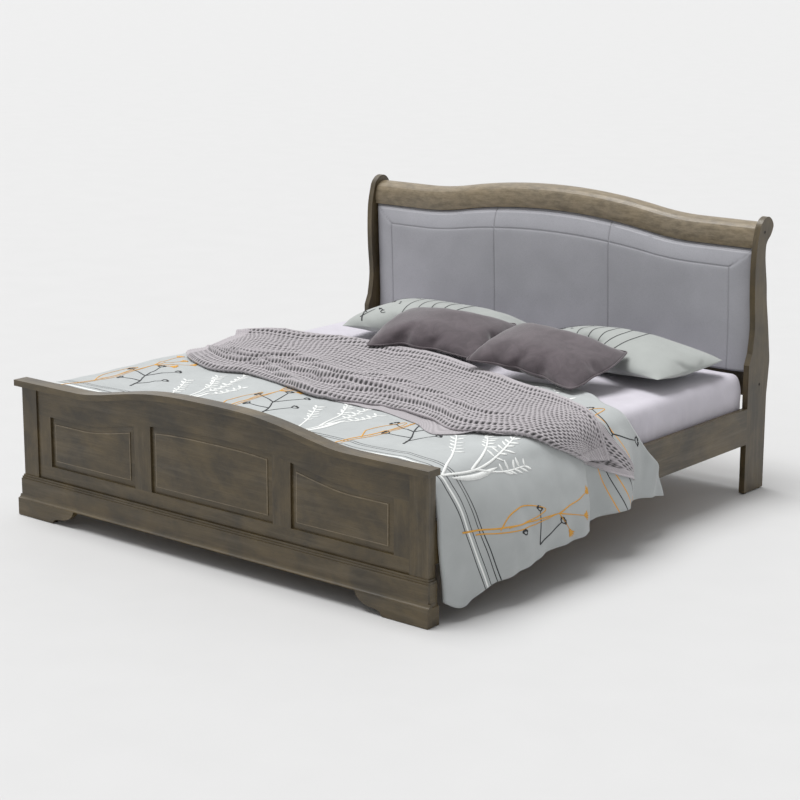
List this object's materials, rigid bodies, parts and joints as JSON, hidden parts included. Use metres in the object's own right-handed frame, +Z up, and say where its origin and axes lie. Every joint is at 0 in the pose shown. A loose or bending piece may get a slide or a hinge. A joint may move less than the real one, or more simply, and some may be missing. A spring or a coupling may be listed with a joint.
{
  "type": "sleigh bed",
  "caption": "Sleigh bed with an arched, panelled footboard, a scrolled and upholstered headboard, a slatted base, mattress and bedding.",
  "frame": {"origin": "on the floor, under the centre of the overall box", "axes": "+Z up, +Y from the footboard to the headboard, +X across the bed to the right as seen from the foot"},
  "size_m": [2.185, 2.268, 1.18],
  "materials": {
    "stained_wood": "grey-brown stain, rubbed lighter on edges, satin lacquer",
    "raw_wood": "planed, unfinished pine",
    "plywood": "unfinished plywood",
    "steel_fittings": "zinc plated",
    "black_steel": "black oxide",
    "black_plastic": "moulded, matt",
    "headboard_cover": "grey leatherette, fine matt grain",
    "sheet": "smooth cotton percale",
    "duvet_cover": "printed cotton",
    "throw_knit": "chunky waffle knit",
    "pillow_case": "printed cotton",
    "velvet": "short-pile velvet"
  },
  "bodies": {
    "root": {"footboard_cap": "stained_wood", "footboard_post_left": "stained_wood", "footboard_post_right": "stained_wood", "footboard_top_rail": "stained_wood", "footboard_bottom_rail": "stained_wood", "footboard_stile_left": "stained_wood", "footboard_stile_right": "stained_wood", "footboard_muntin_left": "stained_wood", "footboard_muntin_right": "stained_wood", "footboard_panel_left": "stained_wood", "footboard_panel_center": "stained_wood", "footboard_panel_right": "stained_wood", "base_board": "stained_wood", "base_return_left": "stained_wood", "base_return_right": "stained_wood", "base_moulding": "stained_wood", "cove_moulding": "stained_wood", "bracket_foot_left": "stained_wood", "bracket_foot_right": "stained_wood", "bracket_return_left": "stained_wood", "bracket_return_right": "stained_wood", "headboard_side_left": "stained_wood", "headboard_side_right": "stained_wood", "crest_rail": "stained_wood", "headboard_rail": "stained_wood", "headboard_stretcher": "stained_wood", "headboard_back_panel": "stained_wood", "headboard_pad_board": "plywood", "headboard_pad": "headboard_cover", "headboard_bolts": "black_steel", "side_rail_left": "stained_wood", "side_rail_right": "stained_wood", "ledger_left": "raw_wood", "ledger_right": "raw_wood", "ledger_screws": "steel_fittings", "rail_brackets": "steel_fittings", "bracket_bolts": "steel_fittings", "center_rail": "raw_wood", "center_rail_hangers": "steel_fittings", "center_leg_foot": "stained_wood", "center_leg_middle": "stained_wood", "center_leg_head": "stained_wood", "leg_levellers": "black_plastic", "foot_glides": "black_plastic", "slats": "raw_wood", "slat_screws": "steel_fittings", "mattress": "sheet", "duvet": "duvet_cover", "knit_throw": "throw_knit", "pillow_left": "pillow_case", "pillow_right": "pillow_case", "cushion_left": "velvet", "cushion_right": "velvet"}
  },
  "joints": []
}
